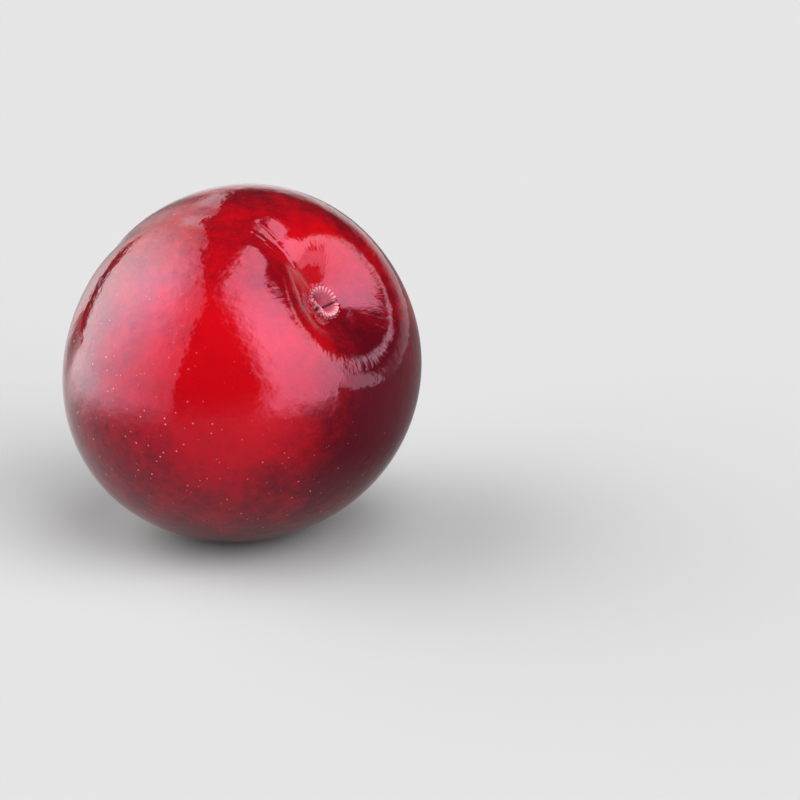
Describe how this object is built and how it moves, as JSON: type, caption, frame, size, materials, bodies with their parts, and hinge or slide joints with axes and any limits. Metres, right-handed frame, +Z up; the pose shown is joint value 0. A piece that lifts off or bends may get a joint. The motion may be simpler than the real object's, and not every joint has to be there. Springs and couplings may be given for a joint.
{
  "type": "plum",
  "caption": "Whole round plum lying on its side, with a stem cavity, stalk scar, suture groove and blossom tip.",
  "frame": {"origin": "on the table under the middle of the fruit's box; the small flat spot that it rests on is at Z = 0", "axes": "+Z up as it lies, the stem end leaning up and towards +X and -Y, the view of it from -Y looking along +Y"},
  "size_m": [0.0602, 0.062, 0.0589],
  "materials": {
    "skin": "gloss"
  },
  "bodies": {
    "root": {"plum": "skin"}
  },
  "joints": []
}
